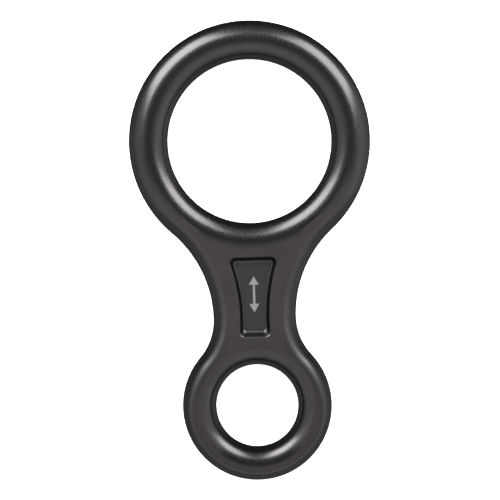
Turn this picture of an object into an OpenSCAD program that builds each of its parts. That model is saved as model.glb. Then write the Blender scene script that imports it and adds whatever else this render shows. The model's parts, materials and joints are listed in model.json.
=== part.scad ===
// Figure-eight rope descender: one closed-die forging with a large rope eye,
// a small connector eye and a waisted web with a shallow pocket on each face.
// Millimetres. It lies flat: X across, Y along the load line with the rope eye
// toward +Y, Z through the thickness.
// Origin: centre of the connector eye, on the parting plane of the forging.

/* [Eyes] */
// Diameter of the large eye the rope is passed through
rope_eye_d = 50; // [40:0.5:64]
// Diameter of the small eye the connector clips into
connector_eye_d = 25; // [18:0.5:32]
// Distance between the two eye centres
eye_spacing = 80.75; // [72:0.25:100]

/* [Stock] */
// Thickness of the forging at the crown of both rings
thickness = 12; // [9:0.5:15]
// Width of the stock around the rope eye, from hole to outer edge
rope_stock_w = 11.85; // [9:0.05:15]
// Width of the stock around the connector eye, from hole to outer edge
connector_stock_w = 10.25; // [8:0.05:13]
// Height of the flat land left at the parting plane along the full-round edges
land_h = 1.8; // [1:0.1:3]
// Edge rounding around the outside of the connector end
end_round = 3; // [2:0.1:4.5]

/* [Waist] */
// Width across the waist at its narrowest
waist_w = 25.2; // [20:0.1:32]
// Distance from the rope eye centre to the narrowest section
waist_pos = 54; // [50:0.25:62]

/* [Pocket] */
// Solid web left between the rope eye and the pocket
pocket_gap = 10.35; // [8:0.05:14]
// Solid web left between the connector eye and the pocket
pocket_end_gap = 8.25; // [7:0.05:12]
// Width of the pocket at its wide end, next to the rope eye
pocket_wide_w = 14.9; // [11:0.1:18]
// Width of the pocket at the waist
pocket_neck_w = 9.3; // [7:0.1:11]
// Radius of the four pocket corners at the face
pocket_corner_r = 1.7; // [1.2:0.1:2.5]
// Depth of the pocket below the face of the web
pocket_depth = 2.1; // [0.5:0.1:2.5]
// Slope of the pocket walls away from upright, degrees
pocket_draft = 22; // [5:1:30]

/* [Hidden] */
$fn = 96;

// Two thin laps keep neighbouring rounded surfaces from being exactly tangent.
lap = 0.05;
cut_over = 1;

half_t = thickness / 2;
rope_r = rope_eye_d / 2;
conn_r = connector_eye_d / 2;
rope_outer_r = rope_r + rope_stock_w;
conn_outer_r = conn_r + connector_stock_w;

// Distance from a full-round edge to the crest of its rounding.
reach_most = sqrt(pow(half_t, 2) - pow(land_h / 2, 2));
rope_reach = min(reach_most, rope_stock_w / 2);
conn_reach = min(reach_most, connector_stock_w - end_round);
rope_crest_r = rope_r + rope_stock_w / 2;
conn_crest_r = conn_r + (conn_reach + connector_stock_w - end_round) / 2;

// The web is a hair thinner and narrower than the rings it joins.
web_half_t = half_t - lap;
web_reach = rope_reach - lap;

// Waist: two arcs per side, each tangent to its ring and both upright at the
// narrowest section.
half_w = waist_w / 2;
waist_y = eye_spacing - waist_pos;
function waist_arc(half, run, ring_r) =
    (half * half + run * run - ring_r * ring_r) / (2 * (ring_r - half));
upper_arc_r = waist_arc(half_w, waist_pos, rope_outer_r);
lower_arc_r = waist_arc(half_w, waist_y, conn_outer_r);
upper_arc_x = half_w + upper_arc_r;
lower_arc_x = half_w + lower_arc_r;
upper_share = rope_outer_r / (rope_outer_r + upper_arc_r);
lower_share = conn_outer_r / (conn_outer_r + lower_arc_r);
upper_tan_x = upper_arc_x * upper_share;
upper_tan_y = eye_spacing - waist_pos * upper_share;
lower_tan_x = lower_arc_x * lower_share;
lower_tan_y = waist_y * lower_share;

// Pocket, at the face: straight ends, hollow sides that follow the waist and
// round corners that touch both.
pocket_top = eye_spacing - rope_r - pocket_gap;
pocket_bottom = conn_r + pocket_end_gap;
corner_top_y = pocket_top - pocket_corner_r;
corner_bottom_y = pocket_bottom + pocket_corner_r;
pocket_rise = corner_top_y - waist_y;
pocket_flare = (pocket_wide_w - pocket_neck_w) / 2;
side_r = (pow(pocket_rise, 2) + pow(pocket_flare, 2)) / (2 * pocket_flare);
side_x = pocket_neck_w / 2 + side_r;
function corner_x(y) =
    side_x - sqrt(pow(side_r + pocket_corner_r, 2) - pow(y - waist_y, 2));
corner_top_x = corner_x(corner_top_y);
corner_bottom_x = corner_x(corner_bottom_y);
wall_in = pocket_depth * tan(pocket_draft);
wall_out = cut_over * tan(pocket_draft);
pocket_floor_z = web_half_t - pocket_depth;
pocket_cut_z = web_half_t + cut_over;

// Ring stock with both edges rounded full height.
module rope_section() {
    flat_w = rope_stock_w - 2 * rope_reach;
    intersection() {
        union() {
            translate([rope_r + rope_reach, 0])
                circle(r = half_t);
            if (flat_w > lap) {
                translate([rope_r + rope_reach, -half_t])
                    square([flat_w, thickness]);
                translate([rope_outer_r - rope_reach, 0])
                    circle(r = half_t);
            }
        }
        translate([rope_r, -half_t - cut_over])
            square([rope_stock_w, thickness + 2 * cut_over]);
    }
}

module rope_ring() {
    translate([0, eye_spacing, 0])
        rotate_extrude(angle = 360)
            rope_section();
}

// Ring stock rounded full height inside, with a tighter edge outside.
module connector_section() {
    inner_x = conn_r + conn_reach;
    outer_x = conn_outer_r - end_round;
    wall_z = half_t - end_round;
    intersection() {
        translate([inner_x, 0])
            circle(r = half_t);
        translate([conn_r, -half_t - cut_over])
            square([conn_reach, thickness + 2 * cut_over]);
    }
    if (outer_x - inner_x > lap)
        translate([inner_x, -half_t])
            square([outer_x - inner_x, thickness]);
    for (side = [-1, 1])
        intersection() {
            translate([outer_x, side * wall_z])
                circle(r = end_round);
            translate([outer_x, -half_t - cut_over])
                square([end_round + cut_over, thickness + 2 * cut_over]);
        }
    translate([outer_x, -wall_z])
        square([end_round, 2 * wall_z]);
}

module connector_ring() {
    rotate_extrude(angle = 360)
        connector_section();
}

// Full-round edge and flat face of the web, swept round a waist arc's centre.
module web_section(arc_r) {
    edge_r = arc_r + lap;
    crest_r = edge_r + web_reach;
    intersection() {
        translate([crest_r, 0])
            circle(r = web_half_t);
        translate([edge_r, -half_t])
            square([web_reach, thickness]);
    }
    translate([crest_r, -web_half_t])
        square([rope_outer_r, 2 * web_half_t]);
}

// One quarter of the web: bounded by the load line, the narrowest section, the
// crest of its ring and the radius on which the waist arc leaves that ring.
module web_quarter(arc_x, arc_r, tan_x, tan_y, eye_y, crest_r) {
    intersection() {
        translate([0, 0, -thickness])
            linear_extrude(height = 2 * thickness)
                difference() {
                    polygon([
                        [0, waist_y],
                        [half_w, waist_y],
                        [tan_x, tan_y],
                        [0, eye_y]
                    ]);
                    translate([0, eye_y])
                        circle(r = crest_r);
                }
        translate([arc_x, waist_y, 0])
            rotate_extrude(angle = 360)
                web_section(arc_r);
    }
}

module web_side() {
    web_quarter(upper_arc_x, upper_arc_r, upper_tan_x, upper_tan_y, eye_spacing, rope_crest_r);
    web_quarter(lower_arc_x, lower_arc_r, lower_tan_x, lower_tan_y, 0, conn_crest_r);
}

module web() {
    web_side();
    mirror([1, 0, 0])
        web_side();
}

// The pocket between its two sloping end walls.
module pocket_ends() {
    translate([-pocket_wide_w, 0, 0])
        rotate([90, 0, 90])
            linear_extrude(height = 2 * pocket_wide_w)
                polygon([
                    [pocket_bottom + wall_in, pocket_floor_z],
                    [pocket_top - wall_in, pocket_floor_z],
                    [pocket_top + wall_out, pocket_cut_z],
                    [pocket_bottom - wall_out, pocket_cut_z]
                ]);
}

// Plan of the pocket without its corners: it turns in at each corner's centre
// and runs out towards the centre of the hollow side.
module pocket_plan() {
    reach = (pocket_corner_r + wall_out + cut_over) / side_r;
    top_y = corner_top_y + (waist_y - corner_top_y) * reach;
    top_x = corner_top_x + (side_x - corner_top_x) * reach;
    bottom_y = corner_bottom_y + (waist_y - corner_bottom_y) * reach;
    bottom_x = corner_bottom_x + (side_x - corner_bottom_x) * reach;
    for (side = [0, 1])
        mirror([side, 0])
            polygon([
                [0, pocket_top + cut_over],
                [corner_top_x, pocket_top + cut_over],
                [corner_top_x, corner_top_y],
                [top_x, top_y],
                [bottom_x, bottom_y],
                [corner_bottom_x, corner_bottom_y],
                [corner_bottom_x, pocket_bottom - cut_over],
                [0, pocket_bottom - cut_over]
            ]);
}

module pocket_corner(x, y) {
    translate([x, y, pocket_floor_z])
        cylinder(
            h = pocket_depth + cut_over,
            r1 = pocket_corner_r - wall_in,
            r2 = pocket_corner_r + wall_out
        );
}

module pocket_solid() {
    difference() {
        intersection() {
            pocket_ends();
            linear_extrude(height = thickness)
                pocket_plan();
        }
        for (side = [-1, 1])
            translate([side * side_x, waist_y, pocket_floor_z])
                cylinder(
                    h = pocket_depth + cut_over,
                    r1 = side_r + wall_in,
                    r2 = side_r - wall_out
                );
    }
    for (side = [-1, 1]) {
        pocket_corner(side * corner_top_x, corner_top_y);
        pocket_corner(side * corner_bottom_x, corner_bottom_y);
    }
}

module pocket_cut() {
    for (side = [0, 1])
        mirror([0, 0, side])
            pocket_solid();
}

module descender_body() {
    color("#23262a")
        difference() {
            union() {
                rope_ring();
                connector_ring();
                web();
            }
            pocket_cut();
        }
}

descender_body();
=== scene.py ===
"""Figure-eight rope descender: a black hard-anodised forging, laid on a pale studio table.

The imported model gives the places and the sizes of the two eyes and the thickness. The visible forging
is a flat blank whose mesh follows the edges, pressed to its relief by one Geometry Nodes tree.
"""

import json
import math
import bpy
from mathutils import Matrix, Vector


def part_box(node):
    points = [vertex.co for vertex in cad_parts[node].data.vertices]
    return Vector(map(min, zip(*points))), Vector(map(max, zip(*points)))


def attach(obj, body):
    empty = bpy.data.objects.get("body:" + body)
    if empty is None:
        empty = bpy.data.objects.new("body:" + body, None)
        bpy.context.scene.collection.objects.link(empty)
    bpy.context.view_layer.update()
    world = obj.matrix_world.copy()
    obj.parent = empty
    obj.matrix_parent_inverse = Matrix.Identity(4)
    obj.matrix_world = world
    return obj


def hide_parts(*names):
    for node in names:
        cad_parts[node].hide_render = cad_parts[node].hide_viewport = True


bl_info = {
    "name": "Rope Descender",
    "version": (1, 0, 0),
    "blender": (4, 5, 0),
    "location": "3D View > Sidebar > Descender",
    "description": "Forges a figure-eight rope descender and lays it on a studio table",
    "category": "Add Mesh",
}

import bmesh
import bpy
import numpy as np
from mathutils import Vector
from mathutils.geometry import delaunay_2d_cdt

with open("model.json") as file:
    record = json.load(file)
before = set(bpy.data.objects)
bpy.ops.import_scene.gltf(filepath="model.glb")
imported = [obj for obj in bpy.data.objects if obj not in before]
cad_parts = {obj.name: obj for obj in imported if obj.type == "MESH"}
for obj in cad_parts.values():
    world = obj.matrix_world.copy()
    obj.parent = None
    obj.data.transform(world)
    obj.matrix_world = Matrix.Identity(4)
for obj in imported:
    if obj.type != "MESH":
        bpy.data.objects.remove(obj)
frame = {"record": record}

MM = 0.001
BODY = "root"
NODE = "descender_body"
WELD = 1e-6
ROUNDING = 1e-7


def mount_of(name):
    """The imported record's mount of that name."""
    return next(m for m in frame["record"]["mounts"] if m["name"] == name)


CAD_LOW, CAD_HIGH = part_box(NODE)
CONNECTOR_EYE = mount_of("connector_eye")
ROPE_EYE = mount_of("rope_eye")
CONNECTOR_R = CONNECTOR_EYE["dims"]["r_mm"] * MM
ROPE_R = ROPE_EYE["dims"]["r_mm"] * MM
SPACING = ROPE_EYE["pos_m"][1]
HALF_T = CAD_HIGH.z
ROPE_OUTER_R = CAD_HIGH.x
CONNECTOR_OUTER_R = -CAD_LOW.y


def length(name, description, default, low, high):
    """A length property in metres."""
    return bpy.props.FloatProperty(
        name=name,
        description=description,
        default=default,
        min=low,
        max=high,
        precision=5,
        subtype="DISTANCE",
        unit="LENGTH",
    )


def colour(name, description, hex_value):
    """A colour property given as an sRGB hex value."""
    return bpy.props.FloatVectorProperty(
        name=name,
        description=description,
        default=linear(hex_value)[:3],
        size=3,
        min=0.0,
        max=1.0,
        subtype="COLOR",
    )


def linear(hex_value):
    """An sRGB hex value as linear red, green, blue and alpha."""
    channels = [int(hex_value[i : i + 2], 16) / 255 for i in (1, 3, 5)]
    return [c / 12.92 if c <= 0.04045 else ((c + 0.055) / 1.055) ** 2.4 for c in channels] + [1.0]


class DescenderSizes(bpy.types.PropertyGroup):
    """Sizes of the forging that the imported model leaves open."""

    waist_w: length("Waist width", "Width across the waist at its narrowest", 0.0252, 0.020, 0.032)
    waist_pos: length(
        "Waist position", "From the rope eye's centre to the narrowest section", 0.054, 0.05, 0.062
    )
    land_h: length(
        "Land height", "Flat left at the parting plane by the trimmed flash", 0.0018, 0.0005, 0.003
    )
    connector_round: length(
        "Connector eye crown", "From the connector eye's edge to its crown", 0.00552, 0.003, 0.006
    )
    connector_radius: length(
        "Connector eye round", "Radius of the round inside the connector eye", 0.0052, 0.002, 0.0055
    )
    waist_round: length("Waist round", "Radius of the round along the waist's edges", 0.0029, 0.001, 0.004)
    shoulder_round: length(
        "Shoulder round", "Radius of the round where the waist meets the connector end", 0.0035, 0.001, 0.0045
    )
    end_round: length("End round", "Radius of the round at the connector end", 0.0013, 0.0005, 0.003)
    web_dish: length(
        "Web dish", "How far each face of the web lies below the crown of the rings", 0.0005, 0.0, 0.001
    )
    pocket_depth: length("Pocket depth", "Depth of the pocket below the web", 0.0021, 0.0005, 0.0025)
    pocket_top: length(
        "Pocket top", "From the rope eye's centre to the pocket's wide end", 0.0353, 0.034, 0.04
    )
    pocket_bottom: length(
        "Pocket bottom", "From the rope eye's centre to the pocket's narrow end", 0.0600, 0.05, 0.062
    )
    pocket_wide_w: length(
        "Pocket wide end", "Width of the pocket next to the rope eye", 0.0149, 0.01, 0.018
    )
    pocket_neck_w: length("Pocket neck", "Width of the pocket at the waist", 0.0093, 0.006, 0.011)


class DescenderFinish(bpy.types.PropertyGroup):
    """Colours and gloss of the hard-anodised finish, and a darker colour painted on the pocket's walls as
    shade.
    """

    black: colour("Anodised black", "Dyed oxide on the tumbled, rounded stock", "#3a3a3a")
    warm_black: colour("Warm black", "Dyed oxide where it has taken a brown cast", "#474141")
    # Painted shade: a near-black colour on the pocket's walls that stands in for the shade in the recess.
    pocket_wall_shade: colour("Wall black", "Dyed oxide on the pocket's walls", "#141414")
    etched: colour("Etched grey", "Oxide bleached by the marking laser", "#7e7e7e")
    gloss: bpy.props.FloatProperty(
        name="Roughness",
        description="Roughness of the tumbled stock",
        default=0.27,
        min=0.05,
        max=0.8,
        subtype="FACTOR",
    )


def add_node(tree, kind, settings=None, links=None):
    """Adds a node, sets its properties and input values, and links its inputs to other nodes.

    A link comes from an output, or from a node, which stands for its first output.
    """
    node = tree.nodes.new(kind)
    for key, value in (settings or {}).items():
        if isinstance(key, str) and hasattr(node, key):
            setattr(node, key, value)
        else:
            node.inputs[key].default_value = value
    for key, source in (links or {}).items():
        output = source.outputs[0] if isinstance(source, bpy.types.Node) else source
        tree.links.new(output, node.inputs[key])
    return node


# ---------------------------------------------------------------- outline of the forging


def smooth(t):
    """Eased step from 0 to 1."""
    t = np.clip(t, 0.0, 1.0)
    return t * t * (3 - 2 * t)


def arc(centre, radius, start, end, steps, side):
    """Points on an arc with their directions into the metal: side is -1 where that is towards the centre."""
    a = np.linspace(start, end, steps + 1)
    out = np.column_stack([np.cos(a), np.sin(a)])
    return np.array(centre) + radius * out, side * out


class Outline:
    """The forging's outer edge: two ring arcs joined by two tangent hollow arcs on each side."""

    def __init__(self, s):
        self.half_w = s.waist_w / 2
        self.waist_y = SPACING - s.waist_pos
        rope_run, conn_run = s.waist_pos, self.waist_y
        self.upper_r = self.waist_arc(rope_run, ROPE_OUTER_R)
        self.lower_r = self.waist_arc(conn_run, CONNECTOR_OUTER_R)
        self.upper_x = self.half_w + self.upper_r
        self.lower_x = self.half_w + self.lower_r
        self.rope_turn = math.atan2(rope_run, self.upper_x)
        self.conn_turn = math.atan2(conn_run, self.lower_x)

    def waist_arc(self, run, ring_r):
        """Radius of the arc that touches a ring and stands upright at the narrowest section."""
        w = self.half_w
        return (w * w + run * run - ring_r * ring_r) / (2 * (ring_r - w))


# How finely the outline's runs, the web's borders, the walls and the rounds are cut.
RING_STEPS = 276
UPPER_STEPS = 40
LOWER_STEPS = 22
END_STEPS = 168
ROPE_WEB_STEPS = 84
CONN_WEB_STEPS = 64
LAND_ROWS = 2
WALL_ROWS = 3
ROUND_STEPS = 17

# Tilt of each drafted wall from the flat.
FULL_TILT = math.radians(81.3)
WAIST_TILT = math.radians(63)
SHOULDER_TILT = math.radians(66)
TIP_TILT = math.radians(70)
CONNECTOR_EYE_TILT = math.radians(69.5)
POCKET_TILT = math.radians(63)

# From the outer edge to the crown, at the shoulder and at the tip of the connector end.
SHOULDER_REACH = 0.0046
TIP_REACH = 0.0030

# Share of the flats' finish on the crown's edge, at the same two places.
SHOULDER_MATTE = 0.5
TIP_MATTE = 0.8

# Turns along the outline: where the rope ring's full round begins to tighten, and from shoulder to tip.
DROP_START = math.radians(8)
TIP_RUN = math.radians(62)

# Turns inside the connector eye, off its tip: where the flats' finish begins and how long it takes.
EYE_FINISH_START = math.radians(28)
EYE_FINISH_RUN = math.radians(30)

# Tilts in degrees between which a round loses the flats' finish: at the eyes and at the outer edge.
EYE_FADE = (10, 30)
OUTER_FADE = (6, 58)

# How far past each ring's crown the web is fully dished, the turn round the eye over which the dish
# begins, and how far past the rope ring's crown the web has its full finish.
ROPE_DISH_RUN = 0.0070
CONNECTOR_DISH_RUN = 0.0180
DISH_TURN = math.radians(16)
WEB_FINISH_RUN = 0.0024

# The row along the flat crown of the connector end: how far it lies from the eye's crown, the share by
# which its two ends are drawn in, and the width at which the flat has its full finish.
END_ROW_GAP = 0.0009
END_ROW_NUDGE = 0.0015
END_FINISH_WIDTH = 0.0020

# The triangles' width on the web and on the pocket's floor, the share of it that places keep clear of a
# border, and how near two places count as one.
WEB_SPACING = 0.0009
FLOOR_SPACING = 0.0012
BORDER_SHARE = 0.6
SAME_PLACE = 1e-9

# The pocket's rounds, the share of an offset that its corners tighten by, and how much further than the
# sides its two ends move in.
LIP_R = 0.0005
FILLET_R = 0.0010
CORNER_R = 0.0017
CORNER_SHARE = 0.5
WIDE_END_SLOPE = 1.1
NARROW_END_SLOPE = 1.45
LIP_STEPS = 6
FILLET_STEPS = 7
POCKET_END_STEPS = 10
POCKET_CORNER_STEPS = 9
POCKET_SIDE_STEPS = 36

# The row of the lip that has the pocket's stated size, and the share of the flats' finish on its walls.
SIZE_ROW = 2
WALL_MATTE = 0.15


class Section:
    """The rounding of an edge: a drafted wall above the land, a round, and a flat up to the crown.

    Every measure is one number or one for each place along the edge: the wall's tilt from the flat, the
    round's radius, the reach from the edge to the crown, and how far the flat's finish runs into the round.
    """

    def __init__(self, tilt, radius, reach, matte, land, fade):
        self.tilt = np.asarray(tilt, float)
        self.radius = np.asarray(radius, float)
        self.reach = np.asarray(reach, float)
        self.matte = np.asarray(matte, float)
        self.land = land
        self.fade_from, self.fade_to = fade
        self.wall_h = HALF_T - land - self.radius * (1 - np.cos(self.tilt))
        self.wall_w = self.wall_h / np.tan(self.tilt)
        if np.any(self.wall_w + self.radius * np.sin(self.tilt) > self.reach + ROUNDING):
            raise ValueError("an edge's round is wider than the room up to its crown")

    def rows(self):
        """Rows of inset, height and finish from the parting plane to the crown."""
        none = np.zeros_like(self.reach)
        yield none, none, none
        for share in np.linspace(0, 1, WALL_ROWS):
            yield share * self.wall_w, self.land + share * self.wall_h, none
        for share in np.linspace(1, 0, ROUND_STEPS + 1)[1:]:
            tilt = share * self.tilt
            inset = self.wall_w + self.radius * (np.sin(self.tilt) - np.sin(tilt))
            level = smooth((self.fade_to - np.degrees(tilt)) / (self.fade_to - self.fade_from))
            yield inset, HALF_T - self.radius * (1 - np.cos(tilt)), self.matte * level
        yield self.reach, HALF_T + none, self.matte + none


def full_radius(reach, land):
    """Radius of the round that takes an edge from a steep wall to its crown with no flat between."""
    run = math.sin(FULL_TILT) - (1 - math.cos(FULL_TILT)) / math.tan(FULL_TILT)
    return (reach - (HALF_T - land) / math.tan(FULL_TILT)) / run


class Blank:
    """A flat mesh under construction: places, faces, and how each place is pressed."""

    FIELDS = ("rise", "dish", "sink", "face", "land")

    def __init__(self, outline, sizes):
        self.outline = outline
        self.sizes = sizes
        self.points = []
        self.fields = {name: [] for name in self.FIELDS}
        self.faces = []
        self.count = 0

    def dish_at(self, p):
        """How much of the web's dish a place takes: none on the rings, all of it in the middle."""
        o = self.outline
        connector_crown = CONNECTOR_R + self.sizes.connector_round
        shares = []
        for centre_y, crown, turn, sign, run in (
            (SPACING, ROPE_R + self.rope_reach, o.rope_turn, -1, ROPE_DISH_RUN),
            (0.0, connector_crown, o.conn_turn, 1, CONNECTOR_DISH_RUN),
        ):
            dx, dy = p[:, 0], sign * (p[:, 1] - centre_y)
            off_line = np.arctan2(np.abs(dx), dy)
            shares.append(smooth((np.hypot(dx, dy) - crown) / run))
            shares.append(smooth((math.pi / 2 - turn - off_line) / DISH_TURN))
        return np.prod(shares, axis=0)

    def finish_at(self, p):
        """How far a place on the web has the flats' finish: none on the rope ring's crown."""
        crown = ROPE_R + self.rope_reach
        return smooth((np.hypot(p[:, 0], p[:, 1] - SPACING) - crown) / WEB_FINISH_RUN)

    @property
    def rope_reach(self):
        """From the rope eye's edge to the crown of its ring."""
        return (ROPE_OUTER_R - ROPE_R) / 2

    def add(self, p, rise=1.0, sink=0.0, face=0.0, land=0.0):
        """Adds places and returns their indices."""
        n = len(p)
        self.points.append(p)
        values = {"rise": rise, "sink": sink, "face": face, "land": land, "dish": self.dish_at(p)}
        for name, value in values.items():
            self.fields[name].append(np.broadcast_to(np.asarray(value, float), (n,)).copy())
        first = self.count
        self.count += n
        return np.arange(first, first + n)

    def quads(self, rows, closed):
        """Faces between neighbouring rows of indices."""
        for a, b in zip(rows[:-1], rows[1:]):
            n = len(a)
            for i in range(n if closed else n - 1):
                j = (i + 1) % n
                self.faces.append((a[i], a[j], b[j], b[i]))

    def rounded_edge(self, edge, inward, section):
        """Sweeps a section along a closed edge and returns the indices of its crown."""
        rows = []
        for i, (inset, height, finish) in enumerate(section.rows()):
            p = edge + inward * np.broadcast_to(inset, (len(edge),))[:, None]
            on_land = 1.0 if i < LAND_ROWS else 0.0
            rows.append(self.add(p, rise=height / HALF_T, face=finish, land=on_land))
        self.quads(rows, True)
        return rows[-1]

    def fill(self, loop, spacing, hole=None, sink=0.0):
        """Fills a loop of indices with triangles about a spacing wide, round a hole if there is one."""
        everything = np.vstack(self.points)
        loops = [loop] if hole is None else [loop, hole]
        rings = [everything[indices] for indices in loops]
        edges = []
        start = 0
        for ring in rings:
            n = len(ring)
            edges += [(start + i, start + (i + 1) % n) for i in range(n)]
            start += n
        inside = self.scatter(rings, spacing)
        known = np.concatenate([*loops, self.add(inside, face=self.finish_at(inside), sink=sink)])
        spots = [Vector(p) for p in np.vstack([*rings, inside])]
        places, _, triangles, origins, *_ = delaunay_2d_cdt(spots, edges, [], 0, SAME_PLACE)
        places = np.array([tuple(p) for p in places])
        for tri in triangles:
            middle = places[list(tri)].mean(axis=0)[None]
            in_hole = any(within(middle, ring)[0] for ring in rings[1:])
            if within(middle, rings[0])[0] and not in_hole:
                self.faces.append(tuple(known[origins[v][0]] for v in tri))

    def scatter(self, rings, spacing):
        """Places on a triangular grid, inside the first ring, outside the others and clear of them all."""
        low, high = rings[0].min(axis=0), rings[0].max(axis=0)
        row_gap = spacing * math.sqrt(3) / 2
        spots = []
        for row, y in enumerate(np.arange(low[1], high[1], row_gap)):
            x = np.arange(low[0], high[0], spacing) + (row % 2) * spacing / 2
            spots.append(np.column_stack([x, np.full(len(x), y)]))
        spots = np.vstack(spots)
        keep = within(spots, rings[0])
        for ring in rings[1:]:
            keep &= ~within(spots, ring)
        for ring in rings:
            gap = np.hypot(*(spots[:, None, :] - ring[None, :, :]).transpose(2, 0, 1)).min(axis=1)
            keep &= gap > spacing * BORDER_SHARE
        return spots[keep]

    def mesh(self, name):
        """The blank as a mesh with its pressing fields as point attributes."""
        mesh = bpy.data.meshes.new(name)
        p = np.vstack(self.points)
        faces = [tuple(int(i) for i in face) for face in self.faces]
        mesh.from_pydata([(x, y, 0.0) for x, y in p], [], faces)
        for field, chunks in self.fields.items():
            attribute = mesh.attributes.new(field, "FLOAT", "POINT")
            attribute.data.foreach_set("value", np.concatenate(chunks).astype(np.float32))
        mesh.update()
        return mesh


def within(spots, loop):
    """Which spots lie inside a closed loop."""
    x, y = spots[:, 0][:, None], spots[:, 1][:, None]
    ax, ay = loop[:, 0][None], loop[:, 1][None]
    bx, by = np.roll(ax, -1, axis=1), np.roll(ay, -1, axis=1)
    straddles = (ay > y) != (by > y)
    with np.errstate(divide="ignore", invalid="ignore"):
        cross_x = (bx - ax) * (y - ay) / (by - ay) + ax
    return (straddles & (x < cross_x)).sum(axis=1) % 2 == 1


def level_run(start, end, y, steps):
    """Places along a level line, without the last."""
    return np.column_stack([np.linspace(start, end, steps, endpoint=False), np.full(steps, y)])


def round_run(centre, radius, start, end, steps):
    """Places along an arc, without the last."""
    a = np.linspace(start, end, steps, endpoint=False)
    return np.array(centre) + radius * np.column_stack([np.cos(a), np.sin(a)])


def pocket_loop(outline, s, offset):
    """The pocket's outline set in by an offset, counter-clockwise.

    Its ends are straight, its sides hollow and its corners round. The end walls slope more than the side
    walls, so the ends move in further.
    """
    top = SPACING - s.pocket_top
    bottom = SPACING - s.pocket_bottom
    half_wide, half_neck = s.pocket_wide_w / 2, s.pocket_neck_w / 2
    rise = top - CORNER_R - outline.waist_y
    flare = half_wide - half_neck
    side_r = (rise * rise + flare * flare) / (2 * flare)
    side_x = half_neck + side_r
    round_r = CORNER_R - CORNER_SHARE * offset
    top -= offset * WIDE_END_SLOPE
    bottom += offset * NARROW_END_SLOPE
    centres = []
    for y in (bottom + round_r, top - round_r):
        reach = side_r + offset + round_r
        centres.append((side_x - math.sqrt(reach**2 - (y - outline.waist_y) ** 2), y))
    low, high = centres
    low_a, high_a = (math.atan2(outline.waist_y - y, side_x - x) for x, y in centres)
    side = (side_x, outline.waist_y)
    right = np.vstack(
        [
            level_run(0, low[0], bottom, POCKET_END_STEPS),
            round_run(low, round_r, -math.pi / 2, low_a, POCKET_CORNER_STEPS),
            round_run(side, side_r + offset, math.pi + low_a, math.pi + high_a, POCKET_SIDE_STEPS),
            round_run(high, round_r, high_a, math.pi / 2, POCKET_CORNER_STEPS),
            level_run(high[0], 0, top, POCKET_END_STEPS),
        ]
    )
    left = np.vstack([[0.0, top], right[1:][::-1] * [-1, 1]])
    return np.vstack([right, left])


def pocket_profile(depth):
    """The pocket's wall as rows of offset and depth: a rounded lip, a drafted wall and a fillet."""
    turn = np.linspace(0, POCKET_TILT, LIP_STEPS + 1)
    lip = LIP_R * np.column_stack([np.sin(turn), 1 - np.cos(turn)])
    back = np.linspace(POCKET_TILT, 0, FILLET_STEPS + 1)
    fillet = FILLET_R * np.column_stack(
        [math.sin(POCKET_TILT) - np.sin(back), np.cos(back) - math.cos(POCKET_TILT)]
    )
    straight = (depth - lip[-1, 1] - fillet[-1, 1]) / math.sin(POCKET_TILT)
    foot = lip[-1] + straight * np.array([math.cos(POCKET_TILT), math.sin(POCKET_TILT)])
    return np.vstack([lip, (lip[-1] + foot) / 2, foot + fillet])


def along(on_up, on_ring, on_low, on_end, flip=1.0):
    """Joins values along the outline's runs into one loop; flip turns those of the left side."""
    runs = (on_up, on_ring, (on_up * flip)[::-1], (on_low * flip)[::-1], on_end, on_low)
    return np.concatenate([run[:-1] for run in runs])


def shared(start, stop, t):
    """The value a share of the way from start to stop."""
    return start + (stop - start) * t


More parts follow.
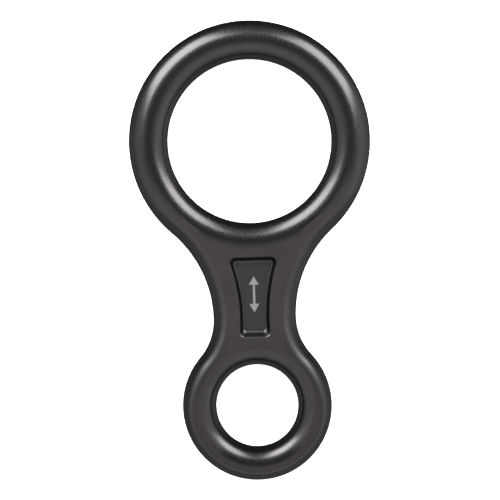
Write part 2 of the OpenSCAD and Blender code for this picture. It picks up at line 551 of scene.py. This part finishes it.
def build_blank(sizes):
    """The flat blank of one face of the forging."""
    o = Outline(sizes)
    blank = Blank(o, sizes)
    land = sizes.land_h / 2
    rope_at, conn_at = (0.0, SPACING), (0.0, 0.0)
    full = blank.rope_reach
    full_r = full_radius(full, land)

    # The outer edge, counter-clockwise from the narrowest section on the right.
    ring_from, ring_to = -o.rope_turn, math.pi + o.rope_turn
    end_from, end_to = math.pi - o.conn_turn, 2 * math.pi + o.conn_turn
    up, up_n = arc((o.upper_x, o.waist_y), o.upper_r, math.pi, math.pi - o.rope_turn, UPPER_STEPS, 1)
    ring, ring_n = arc(rope_at, ROPE_OUTER_R, ring_from, ring_to, RING_STEPS, -1)
    low, low_n = arc((o.lower_x, o.waist_y), o.lower_r, math.pi + o.conn_turn, math.pi, LOWER_STEPS, 1)
    end, end_n = arc(conn_at, CONNECTOR_OUTER_R, end_from, end_to, END_STEPS, -1)
    mirror = np.array([-1.0, 1.0])
    edge = along(up, ring, low, end, mirror)
    inward = along(up_n, ring_n, low_n, end_n, mirror)

    # Its section: full round over the rope ring, then a drafted wall and a tighter round to the far end.
    ring_a = np.abs(np.linspace(ring_from, ring_to, RING_STEPS + 1) - math.pi / 2) - math.pi / 2
    end_turns = np.abs(np.linspace(end_from, end_to, END_STEPS + 1) - 1.5 * math.pi)
    drop = smooth((ring_a - DROP_START) / (o.rope_turn - DROP_START))
    low_t = smooth(np.linspace(0, 1, LOWER_STEPS + 1))
    end_t = smooth((math.pi / 2 + o.conn_turn - end_turns) / TIP_RUN)
    waist_r, shoulder_r = sizes.waist_round, sizes.shoulder_round
    up_one = np.ones(UPPER_STEPS + 1)
    tilt = along(
        up_one * WAIST_TILT,
        shared(FULL_TILT, WAIST_TILT, drop),
        shared(SHOULDER_TILT, WAIST_TILT, low_t),
        shared(SHOULDER_TILT, TIP_TILT, end_t),
    )
    radius = along(
        up_one * waist_r,
        shared(full_r, waist_r, drop),
        shared(shoulder_r, waist_r, low_t),
        shared(shoulder_r, sizes.end_round, end_t),
    )
    reach = along(
        up_one * full,
        np.full(RING_STEPS + 1, full),
        shared(SHOULDER_REACH, full, low_t),
        shared(SHOULDER_REACH, TIP_REACH, end_t),
    )
    matte = along(up_one, drop, shared(SHOULDER_MATTE, 1.0, low_t), shared(SHOULDER_MATTE, TIP_MATTE, end_t))
    outer = blank.rounded_edge(edge, inward, Section(tilt, radius, reach, matte, land, OUTER_FADE))

    # The eyes, each sampled at the same turns as the ring round it, clockwise so that faces point up.
    def eye(centre, radius, first, last, steps, web_steps, section):
        ring_turns = np.linspace(first, last, steps + 1)[:-1]
        web_turns = np.linspace(last, first + 2 * math.pi, web_steps + 1)[:-1]
        a = np.concatenate([ring_turns, web_turns])
        out = np.column_stack([np.cos(a), np.sin(a)])
        points = np.array(centre) + radius * out
        crown = blank.rounded_edge(points[::-1], out[::-1], section(a[::-1]))
        return crown[::-1]

    def rope_section(a):
        return Section(FULL_TILT, full_r, np.full(len(a), full), 0.0, land, EYE_FADE)

    def connector_section(a):
        off_tip = np.arccos(-np.sin(a))
        matte = smooth((off_tip - EYE_FINISH_START) / EYE_FINISH_RUN)
        reach = np.full(len(a), sizes.connector_round)
        return Section(CONNECTOR_EYE_TILT, sizes.connector_radius, reach, matte, land, EYE_FADE)

    rope_crown = eye(rope_at, ROPE_R, ring_from, ring_to, RING_STEPS, ROPE_WEB_STEPS, rope_section)
    conn_crown = eye(conn_at, CONNECTOR_R, end_from, end_to, END_STEPS, CONN_WEB_STEPS, connector_section)

    # The flat crown of the connector end, with a row of places between its two edges.
    first_end = 2 * UPPER_STEPS + RING_STEPS + LOWER_STEPS
    outer_end = np.take(outer, range(first_end, first_end + END_STEPS + 1))
    inner_end = np.take(conn_crown, range(END_STEPS + 1), mode="wrap")
    places = np.vstack(blank.points)
    across = places[outer_end] - places[inner_end]
    width = np.hypot(*across.T)
    share = np.minimum(0.5, END_ROW_GAP / width)
    between = places[inner_end] + across * share[:, None]
    # The row's two ends stand a hair inside the end, so that the web's border bends there.
    nudge = np.array([between[0, 1], -between[0, 0]]) * -END_ROW_NUDGE
    between[0] += nudge
    between[-1] += nudge * [-1, 1]
    mid_end = blank.add(between, face=smooth(width / END_FINISH_WIDTH))
    blank.quads([outer_end, mid_end, inner_end], False)

    # The pocket, from its lip down to its floor. Only its first and last rows lie on a flat.
    profile = pocket_profile(sizes.pocket_depth)
    finish = np.full(len(profile), WALL_MATTE)
    finish[[0, -1]] = 1.0
    rows = []
    for (offset, depth), on_flat in zip(profile, finish):
        loop = pocket_loop(o, sizes, offset - profile[SIZE_ROW, 0])
        rows.append(blank.add(loop, sink=depth / sizes.pocket_depth, face=on_flat))
    blank.quads(rows, True)
    blank.fill(rows[-1], FLOOR_SPACING, sink=1.0)

    # The web between the crowns, round the pocket.
    rope_web = np.take(rope_crown, range(RING_STEPS, RING_STEPS + ROPE_WEB_STEPS), mode="wrap")
    conn_web = np.take(conn_crown, range(END_STEPS, END_STEPS + CONN_WEB_STEPS), mode="wrap")
    border = np.concatenate(
        [
            outer[first_end + END_STEPS :],
            outer[:UPPER_STEPS],
            [rope_crown[0]],
            rope_web[::-1],
            outer[UPPER_STEPS + RING_STEPS + 1 : first_end + 1],
            [mid_end[0], conn_crown[0]],
            conn_web[::-1],
            [mid_end[-1]],
        ]
    )
    blank.fill(border, WEB_SPACING, hole=rows[0])
    return blank


# ---------------------------------------------------------------- pressing the blank


def press_tree():
    """Presses the flat blank to its relief and adds the same face, mirrored, below the parting plane."""
    tree = bpy.data.node_groups.new("Closed-die press", "GeometryNodeTree")
    face = tree.interface
    face.new_socket("Geometry", in_out="INPUT", socket_type="NodeSocketGeometry")
    for name in ("Half thickness", "Web dish", "Pocket depth", "Weld distance"):
        socket = face.new_socket(name, in_out="INPUT", socket_type="NodeSocketFloat")
        socket.subtype = "DISTANCE"
    face.new_socket("Finish", in_out="INPUT", socket_type="NodeSocketMaterial")
    face.new_socket("Geometry", in_out="OUTPUT", socket_type="NodeSocketGeometry")
    given = add_node(tree, "NodeGroupInput").outputs
    rise, dish, sink = (
        add_node(tree, "GeometryNodeInputNamedAttribute", {"data_type": "FLOAT", "Name": name})
        for name in ("rise", "dish", "sink")
    )

    # A place's height: its share of the half thickness less the dish, less how far the pocket sinks it.
    half_t, dish_h, pocket_h = (given[name] for name in ("Half thickness", "Web dish", "Pocket depth"))
    hollow = add_node(tree, "ShaderNodeMath", {"operation": "MULTIPLY"}, {0: dish_h, 1: dish})
    dished = add_node(tree, "ShaderNodeMath", {"operation": "SUBTRACT"}, {0: half_t, 1: hollow})
    raised = add_node(tree, "ShaderNodeMath", {"operation": "MULTIPLY"}, {0: dished, 1: rise})
    sunk = add_node(tree, "ShaderNodeMath", {"operation": "MULTIPLY"}, {0: pocket_h, 1: sink})
    height = add_node(tree, "ShaderNodeMath", {"operation": "SUBTRACT"}, {0: raised, 1: sunk})
    lift = add_node(tree, "ShaderNodeCombineXYZ", {}, {"Z": height})
    upper = add_node(tree, "GeometryNodeSetPosition", {}, {"Geometry": given["Geometry"], "Offset": lift})

    lower = add_node(tree, "GeometryNodeTransform", {"Scale": (1, 1, -1)}, {"Geometry": upper})
    turned = add_node(tree, "GeometryNodeFlipFaces", {}, {"Mesh": lower})
    both = add_node(tree, "GeometryNodeJoinGeometry")
    for half in (turned, upper):
        tree.links.new(half.outputs[0], both.inputs[0])
    welding = {"Geometry": both, "Distance": given["Weld distance"]}
    closed = add_node(tree, "GeometryNodeMergeByDistance", {}, welding)
    shaded = add_node(tree, "GeometryNodeSetShadeSmooth", {}, {"Geometry": closed})
    real = add_node(tree, "GeometryNodeRealizeInstances", {}, {"Geometry": shaded})
    painted = add_node(tree, "GeometryNodeSetMaterial", {}, {"Geometry": real, "Material": given["Finish"]})
    add_node(tree, "NodeGroupOutput", {}, {"Geometry": painted})
    return tree


def pressed(blank_mesh, tree, inputs, name):
    """The blank after the press, as a plain mesh object."""
    blank = bpy.data.objects.new(name + "_blank", blank_mesh)
    bpy.context.scene.collection.objects.link(blank)
    modifier = blank.modifiers.new("Press", "NODES")
    modifier.node_group = tree
    sockets = {i.name: i.identifier for i in tree.interface.items_tree if i.in_out == "INPUT"}
    for key, value in inputs.items():
        modifier[sockets[key]] = value
    bpy.context.view_layer.update()
    depsgraph = bpy.context.evaluated_depsgraph_get()
    mesh = bpy.data.meshes.new_from_object(blank.evaluated_get(depsgraph), depsgraph=depsgraph)
    bpy.data.objects.remove(blank)
    mesh.name = name
    piece = bpy.data.objects.new(name, mesh)
    bpy.context.scene.collection.objects.link(piece)
    return piece


def require_closed(piece):
    """Stops the script unless the piece is closed and its faces point outwards."""
    shape = bmesh.new()
    shape.from_mesh(piece.data)
    open_edges = sum(1 for e in shape.edges if len(e.link_faces) != 2)
    volume = shape.calc_volume(signed=True)
    shape.free()
    if open_edges or volume <= 0:
        raise RuntimeError(f"{piece.name}: {open_edges} open edges, volume {volume / MM**3:.0f} mm3")
    return volume


# ---------------------------------------------------------------- finish


def hard_anodised_forging(colours, sizes):
    """Closed-die forged aluminium, tumbled and hard anodised black.

    The eye sees a near-black satin: the oxide keeps the metal's reflections but takes most of their
    light. The rounded stock is smoother than the flats, which show a fine grain and read as a greyer,
    slightly browner black.
    """
    material = bpy.data.materials.new("hard-anodised forged aluminium")
    material.use_nodes = True
    tree = material.node_tree
    tree.nodes.clear()
    place = add_node(tree, "ShaderNodeTexCoord").outputs["Object"]
    axes = add_node(tree, "ShaderNodeSeparateXYZ", {}, {0: place}).outputs
    flats, land, sink = (
        add_node(tree, "ShaderNodeAttribute", {"attribute_name": name}).outputs["Fac"]
        for name in ("face", "land", "sink")
    )

    # Blast grit of 0.1 mm, drawn at 0.4 mm so that it shows, clouds in the dye, and the die's slow wave.
    grain_mm, cloud_mm, wave_mm = 0.4, 7.0, 16.0
    grain, cloud, wave = (
        add_node(tree, "ShaderNodeTexNoise", {"Scale": 1 / (size * MM), "Detail": detail}, {"Vector": place})
        for size, detail in ((grain_mm, 2.0), (cloud_mm, 3.0), (wave_mm, 1.0))
    )

    # Each amount comes from a source read between two values, and what it is worth at the two.
    pocket_foot = SPACING - sizes.pocket_bottom
    readings = {
        "cloud tint": (cloud, 0.35, 0.65, 0.0, 0.25),
        "flat tint": (flats, 0.5, 1.0, 0.0, 0.7),
        "floor share": (sink, 0.9, 1.0, 1.0, 0.5),
        # The three wall readings place the painted shade on the pocket's walls.
        "wall top": (sink, 0.08, 0.4, 0.0, 0.62),
        "wall foot": (sink, 0.6, 0.95, 1.0, 0.0),
        "wall end": (axes["Y"], pocket_foot + 1.2 * MM, pocket_foot + 4.0 * MM, 0.0, 1.0),
        "grain roughness": (grain, 0.3, 0.7, colours.gloss - 0.04, colours.gloss + 0.05),
        "flat roughness": (flats, 0.0, 0.5, 0.0, 0.16),
    }
    land_roughness, mark_roughness = 0.08, 0.15
    grain_relief, bump_strength, bump_height = 0.12, 0.35, 0.08 * MM
    amounts = {}
    for name, (source, low, high, at_low, at_high) in readings.items():
        span = {"From Min": low, "From Max": high, "To Min": at_low, "To Max": at_high}
        amounts[name] = add_node(tree, "ShaderNodeMapRange", span, {"Value": source})

    adding = {"operation": "ADD", "use_clamp": True}
    tint = add_node(tree, "ShaderNodeMath", adding, {0: amounts["cloud tint"], 1: amounts["flat tint"]})
    # On the pocket's floor the warm tint is halved: a painted shade that makes the recess's floor darker and
    # greyer.
    tint = add_node(tree, "ShaderNodeMath", {"operation": "MULTIPLY"}, {0: tint, 1: amounts["floor share"]})
    blacks = {"data_type": "RGBA", 6: (*colours.black, 1.0), 7: (*colours.warm_black, 1.0)}
    body = add_node(tree, "ShaderNodeMix", blacks, {0: tint}).outputs[2]

    # Painted shade: the pocket's walls take a deeper black that stands in for the shade in the recess. It
    # fades out towards the narrow end, whose wall faces the softboxes.
    wall = amounts["wall top"]
    for other in ("wall foot", "wall end"):
        wall = add_node(tree, "ShaderNodeMath", {"operation": "MULTIPLY"}, {0: wall, 1: amounts[other]})
    deep = {"data_type": "RGBA", 7: (*colours.pocket_wall_shade, 1.0)}
    wall_shaded = add_node(tree, "ShaderNodeMix", deep, {0: wall, 6: body}).outputs[2]

    # A plain double-headed arrow on the load line shows which way the part is pulled.
    mark = load_arrow(tree, axes)
    grey = {"data_type": "RGBA", 7: (*colours.etched, 1.0)}
    base = add_node(tree, "ShaderNodeMix", grey, {0: mark, 6: wall_shaded}).outputs[2]

    rough = amounts["grain roughness"]
    flash = add_node(tree, "ShaderNodeMath", {"operation": "MULTIPLY", 1: land_roughness}, {0: land})
    marked = add_node(tree, "ShaderNodeMath", {"operation": "MULTIPLY", 1: mark_roughness}, {0: mark})
    for more in (amounts["flat roughness"], flash, marked):
        rough = add_node(tree, "ShaderNodeMath", {"operation": "ADD"}, {0: rough, 1: more})

    roughening = {"operation": "MULTIPLY_ADD", 1: grain_relief}
    relief = add_node(tree, "ShaderNodeMath", roughening, {0: grain, 2: wave})
    bumping = {"Strength": bump_strength, "Distance": bump_height}
    bump = add_node(tree, "ShaderNodeBump", bumping, {"Height": relief})
    skin = {"Base Color": base, "Roughness": rough, "Normal": bump}
    shader = add_node(tree, "ShaderNodeBsdfPrincipled", {"Metallic": 1.0}, skin)
    add_node(tree, "ShaderNodeOutputMaterial", {}, {"Surface": shader})
    return material


def load_arrow(tree, axes):
    """How much of the laser mark covers a place: a double-headed arrow on the upper face's load line."""
    centre_y = SPACING - 46.8 * MM
    tip, head, head_half, shaft_half, soft = 5.5 * MM, 2.6 * MM, 1.5 * MM, 0.34 * MM, 0.08 * MM
    neck = tip - head
    across = add_node(tree, "ShaderNodeMath", {"operation": "ABSOLUTE"}, {0: axes["X"]})
    off_centre = add_node(tree, "ShaderNodeMath", {"operation": "SUBTRACT", 1: centre_y}, {0: axes["Y"]})
    along_line = add_node(tree, "ShaderNodeMath", {"operation": "ABSOLUTE"}, {0: off_centre})
    to_tip = add_node(tree, "ShaderNodeMath", {"operation": "SUBTRACT", 0: tip}, {1: along_line})
    half_w = add_node(tree, "ShaderNodeMath", {"operation": "MULTIPLY", 1: head_half / head}, {0: to_tip})
    inside = add_node(tree, "ShaderNodeMath", {"operation": "SUBTRACT"}, {0: half_w, 1: across})

    # Each edge comes from a source read across a soft step, and what it is worth on the two sides.
    steps = {
        "shaft side": (across, shaft_half - soft, shaft_half + soft, 1.0, 0.0),
        "shaft end": (along_line, neck - soft, neck + soft, 1.0, 0.0),
        "head side": (inside, -soft, soft, 0.0, 1.0),
        "head end": (along_line, neck - soft, neck + soft, 0.0, 1.0),
        "upper face": (axes["Z"], 0.0, 1.0 * MM, 0.0, 1.0),
    }
    edges = {}
    for name, (source, low, high, at_low, at_high) in steps.items():
        span = {"From Min": low, "From Max": high, "To Min": at_low, "To Max": at_high}
        edges[name] = add_node(tree, "ShaderNodeMapRange", span, {"Value": source})
    shaft, point = (
        add_node(tree, "ShaderNodeMath", {"operation": "MULTIPLY"}, {0: edges[side], 1: edges[end]})
        for side, end in (("shaft side", "shaft end"), ("head side", "head end"))
    )
    arrow = add_node(tree, "ShaderNodeMath", {"operation": "MAXIMUM"}, {0: shaft, 1: point})
    return add_node(tree, "ShaderNodeMath", {"operation": "MULTIPLY"}, {0: arrow, 1: edges["upper face"]})


def pale_table():
    """Matt white laminate table top: bright, without gloss, so the part alone carries the reflections."""
    material = bpy.data.materials.new("matt white laminate")
    material.use_nodes = True
    shader = material.node_tree.nodes["Principled BSDF"]
    shader.inputs["Base Color"].default_value = linear("#f4f4f2")
    shader.inputs["Roughness"].default_value = 0.9
    shader.inputs["Emission Color"].default_value = linear("#ffffff")
    shader.inputs["Emission Strength"].default_value = 0.8
    return material


# ---------------------------------------------------------------- operators

TABLE_HALF = 3.0

# The softboxes over the rope eye's end: clock angle from +Y and angle off the vertical, size, radiance.
SOFTBOXES = (
    ("softbox_left", math.radians(-38), math.radians(55), (0.275, 0.31), 15.0),
    ("softbox_right", math.radians(45), math.radians(55), (0.26, 0.31), 12.2),
)
SOFTBOX_DISTANCE = 0.42

# The room's brightness, from straight below at 0 to straight overhead at 1. Its up direction leans a
# little, its sides count as higher, and its strength falls from the near wall to the far one.
ROOM_STOPS = (
    (0.0, 0.05),
    (0.11, 0.08),
    (0.22, 0.22),
    (0.40, 0.28),
    (0.51, 0.4),
    (0.66, 0.8),
    (0.76, 0.92),
    (0.86, 0.92),
    (0.93, 0.6),
    (0.97, 0.32),
    (1.0, 0.22),
)
ROOM_UP = (0.06, 0.17, 1.0)
ROOM_SIDE_RISE = 0.12
ROOM_NEAR, ROOM_FAR = 2.05, 0.45

# Heights between which the far side falls into shadow below the table, and how deep that shadow is.
SHADOW_TOP, SHADOW_FOOT, SHADOW_DEPTH = -0.125, -0.75, 0.75

# The white cards at the two sides: where across the room each begins and ends, and its strength there.
CARDS = ((0.55, 1.0, 0.0, 0.8), (-1.0, -0.55, 0.3, 0.0))
CARD_FOOT, CARD_FULL = -1.0, -0.2

CAMERA_HEIGHT = 0.8
CAMERA_LEAN = math.radians(-1.73)
CAMERA_X, CAMERA_BELOW_ROPE_EYE = -0.00083, 0.0333
FRAME_WIDTH = 0.1528


class DESCENDER_OT_forge(bpy.types.Operator):
    """Forge the body: a blank pressed to its relief and hard anodised"""

    bl_idname = "descender.forge"
    bl_label = "Forge the body"

    def execute(self, context):
        sizes, colours = context.scene.descender_sizes, context.scene.descender_finish
        mesh = build_blank(sizes).mesh("descender_forging_blank")
        inputs = {
            "Half thickness": HALF_T,
            "Web dish": sizes.web_dish,
            "Pocket depth": sizes.pocket_depth,
            "Weld distance": WELD,
            "Finish": hard_anodised_forging(colours, sizes),
        }
        piece = pressed(mesh, press_tree(), inputs, "descender_forging")
        volume = require_closed(piece)
        triangles = sum(len(p.vertices) - 2 for p in piece.data.polygons)
        print(f"forging: {volume / MM**3:.0f} mm3, {triangles} triangles")
        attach(piece, BODY)
        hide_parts(NODE)
        return {"FINISHED"}


class DESCENDER_OT_stage(bpy.types.Operator):
    """Lay the table and set the lights and the camera"""

    bl_idname = "descender.stage"
    bl_label = "Set the stage"

    def execute(self, context):
        scene = context.scene
        scene.view_settings.view_transform = "Standard"
        table = bpy.data.meshes.new("table")
        half, z = TABLE_HALF, CAD_LOW.z
        corners = [(-half, -half, z), (half, -half, z), (half, half, z), (-half, half, z)]
        table.from_pydata(corners, [], [(0, 1, 2, 3)])
        table.materials.append(pale_table())
        floor = bpy.data.objects.new("table", table)
        scene.collection.objects.link(floor)
        floor.visible_glossy = False

        middle = Vector((0.0, SPACING, 0.0))
        for name, clock, tilt, size, radiance in SOFTBOXES:
            self.softbox(scene, name, middle, clock, tilt, size, radiance)
        self.room(scene)
        self.camera(scene)
        return {"FINISHED"}

    def softbox(self, scene, name, target, clock, tilt, size, radiance):
        """A softbox facing the part."""
        light = bpy.data.lights.new(name, "AREA")
        light.shape = "RECTANGLE"
        light.size, light.size_y = size
        light.energy = radiance * math.pi * light.size * light.size_y
        lamp = bpy.data.objects.new(name, light)
        scene.collection.objects.link(lamp)
        flat = math.sin(tilt)
        way = Vector((flat * math.sin(clock), flat * math.cos(clock), math.cos(tilt)))
        lamp.location = target + SOFTBOX_DISTANCE * way
        lamp.rotation_euler = (target - lamp.location).to_track_quat("-Z", "Y").to_euler()

    def room(self, scene):
        """A grey room: dim overhead, lighter round the walls, dark below the table."""
        world = bpy.data.worlds.new("studio room")
        scene.world = world
        world.use_nodes = True
        tree = world.node_tree
        tree.nodes.clear()
        way = add_node(tree, "ShaderNodeTexCoord").outputs["Generated"]
        axes = add_node(tree, "ShaderNodeSeparateXYZ", {}, {0: way}).outputs
        lean = {"operation": "DOT_PRODUCT", 1: Vector(ROOM_UP).normalized()}
        up = add_node(tree, "ShaderNodeVectorMath", lean, {0: way}).outputs["Value"]
        side = add_node(tree, "ShaderNodeMath", {"operation": "MULTIPLY"}, {0: axes["X"], 1: axes["X"]})
        raising = {"operation": "MULTIPLY_ADD", 1: ROOM_SIDE_RISE}
        up = add_node(tree, "ShaderNodeMath", raising, {0: side, 2: up})
        height = add_node(tree, "ShaderNodeMapRange", {"From Min": -1.0, "From Max": 1.0}, {"Value": up})
        ramp = add_node(tree, "ShaderNodeValToRGB", {}, {"Fac": height})
        elements = ramp.color_ramp.elements
        for position, _ in ROOM_STOPS[1:-1]:
            elements.new(position)
        for element, (position, grey) in zip(elements, ROOM_STOPS):
            element.position = position
            element.color = (grey, grey, grey, 1.0)
        fade = {"From Min": -1.0, "From Max": 1.0, "To Min": ROOM_NEAR, "To Max": ROOM_FAR}
        strength = add_node(tree, "ShaderNodeMapRange", fade, {"Value": axes["Y"]})

        # Below the table's level the near side is lit and the far side lies in shadow.
        drop = {"From Min": SHADOW_TOP, "From Max": SHADOW_FOOT, "To Min": 0.0, "To Max": SHADOW_DEPTH}
        below = add_node(tree, "ShaderNodeMapRange", drop, {"Value": axes["Z"]})
        shadow = add_node(tree, "ShaderNodeMath", {"operation": "MULTIPLY"}, {0: below, 1: axes["Y"]})
        share = add_node(tree, "ShaderNodeMath", {"operation": "SUBTRACT", 0: 1.0}, {1: shadow})
        strength = add_node(tree, "ShaderNodeMath", {"operation": "MULTIPLY"}, {0: strength, 1: share})
        wall = add_node(tree, "ShaderNodeBackground", {}, {"Color": ramp, "Strength": strength})

        # A white card stands on the table at each side, the right one brighter.
        cards = []
        for low, high, at_low, at_high in CARDS:
            span = {"From Min": low, "From Max": high, "To Min": at_low, "To Max": at_high}
            span["interpolation_type"] = "SMOOTHSTEP"
            cards.append(add_node(tree, "ShaderNodeMapRange", span, {"Value": axes["X"]}))
        sides = add_node(tree, "ShaderNodeMath", {"operation": "ADD"}, dict(enumerate(cards)))
        band = {"From Min": CARD_FOOT, "From Max": CARD_FULL, "interpolation_type": "SMOOTHSTEP"}
        foot = add_node(tree, "ShaderNodeMapRange", band, {"Value": axes["Z"]})
        card = add_node(tree, "ShaderNodeMath", {"operation": "MULTIPLY"}, {0: sides, 1: foot})
        white = add_node(tree, "ShaderNodeBackground", {}, {"Strength": card})
        glow = add_node(tree, "ShaderNodeAddShader", {}, {0: wall, 1: white})
        add_node(tree, "ShaderNodeOutputWorld", {}, {"Surface": glow})

    def camera(self, scene):
        """Straight above the part, turned so that the load line leans a little."""
        data = bpy.data.cameras.new("camera")
        data.sensor_width = 36.0
        data.lens = data.sensor_width * CAMERA_HEIGHT / FRAME_WIDTH
        data.clip_start = 0.01
        data.clip_end = 20.0
        camera = bpy.data.objects.new("camera", data)
        scene.collection.objects.link(camera)
        camera.location = (CAMERA_X, SPACING - CAMERA_BELOW_ROPE_EYE, CAMERA_HEIGHT)
        camera.rotation_euler = (0.0, 0.0, CAMERA_LEAN)
        scene.camera = camera


class DESCENDER_PT_panel(bpy.types.Panel):
    """Sizes, colours and steps of the descender"""

    bl_idname = "DESCENDER_PT_panel"
    bl_label = "Descender"
    bl_space_type = "VIEW_3D"
    bl_region_type = "UI"
    bl_category = "Descender"

    def draw(self, context):
        for group in (context.scene.descender_sizes, context.scene.descender_finish):
            box = self.layout.box()
            for name in group.bl_rna.properties.keys():
                if name not in ("rna_type", "name"):
                    box.prop(group, name)
        for operator in (DESCENDER_OT_forge, DESCENDER_OT_stage):
            self.layout.operator(operator.bl_idname)


CLASSES = (
    DescenderSizes,
    DescenderFinish,
    DESCENDER_OT_forge,
    DESCENDER_OT_stage,
    DESCENDER_PT_panel,
)


def register():
    """Registers the classes and hangs the two property groups on the scene."""
    for cls in CLASSES:
        bpy.utils.register_class(cls)
    bpy.types.Scene.descender_sizes = bpy.props.PointerProperty(type=DescenderSizes)
    bpy.types.Scene.descender_finish = bpy.props.PointerProperty(type=DescenderFinish)


def unregister():
    """Takes the property groups off the scene and unregisters the classes."""
    del bpy.types.Scene.descender_finish
    del bpy.types.Scene.descender_sizes
    for cls in reversed(CLASSES):
        bpy.utils.unregister_class(cls)


def main():
    """Builds everything in order."""
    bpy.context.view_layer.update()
    register()
    bpy.ops.descender.forge()
    bpy.ops.descender.stage()


if __name__ == "__main__":
    main()
